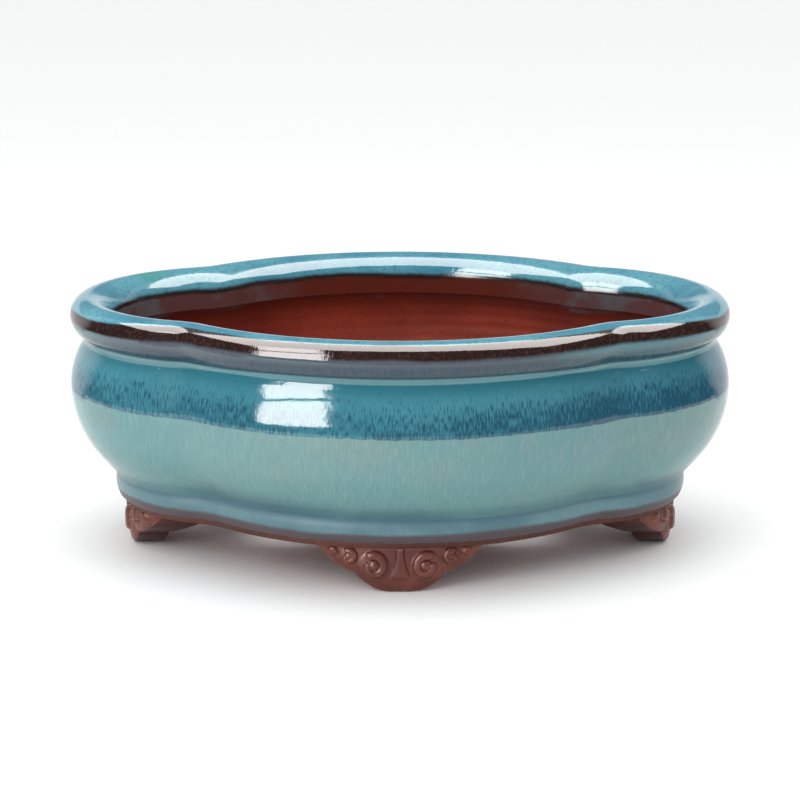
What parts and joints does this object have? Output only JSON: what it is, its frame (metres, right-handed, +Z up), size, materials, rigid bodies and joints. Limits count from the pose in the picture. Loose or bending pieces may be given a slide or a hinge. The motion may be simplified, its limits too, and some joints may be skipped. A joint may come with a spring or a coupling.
{
  "type": "bonsai pot",
  "caption": "Glazed stoneware bonsai pot, oval in four lobes, with a rolled rim, bulging bowl, base band, cloud-scroll feet and a drained floor. Holds a small tree and its soil.",
  "frame": {"origin": "on the table, under the middle of the pot", "axes": "+X along the long axis, -Y towards the front lobe, +Z up"},
  "size_m": [0.2604, 0.1954, 0.1],
  "materials": {
    "clay": "unglazed fired red clay, matt",
    "foot_clay": "unglazed fired red clay, burnished to a soft sheen",
    "rim_glaze": "glossy blue glaze, breaking brown-black on the outer edge",
    "belly_glaze": "glossy streaked teal glaze",
    "band_glaze": "glossy blue-grey glaze, thinning to mauve at its lower edge"
  },
  "bodies": {
    "root": {"bowl_floor": "clay", "bowl_wall": "clay", "rim_roll": "clay", "base_band": "clay", "foot_front": "foot_clay", "foot_back": "foot_clay", "foot_left": "foot_clay", "foot_right": "foot_clay", "rim_glaze": "rim_glaze", "belly_glaze": "belly_glaze", "band_glaze": "band_glaze"}
  },
  "joints": []
}
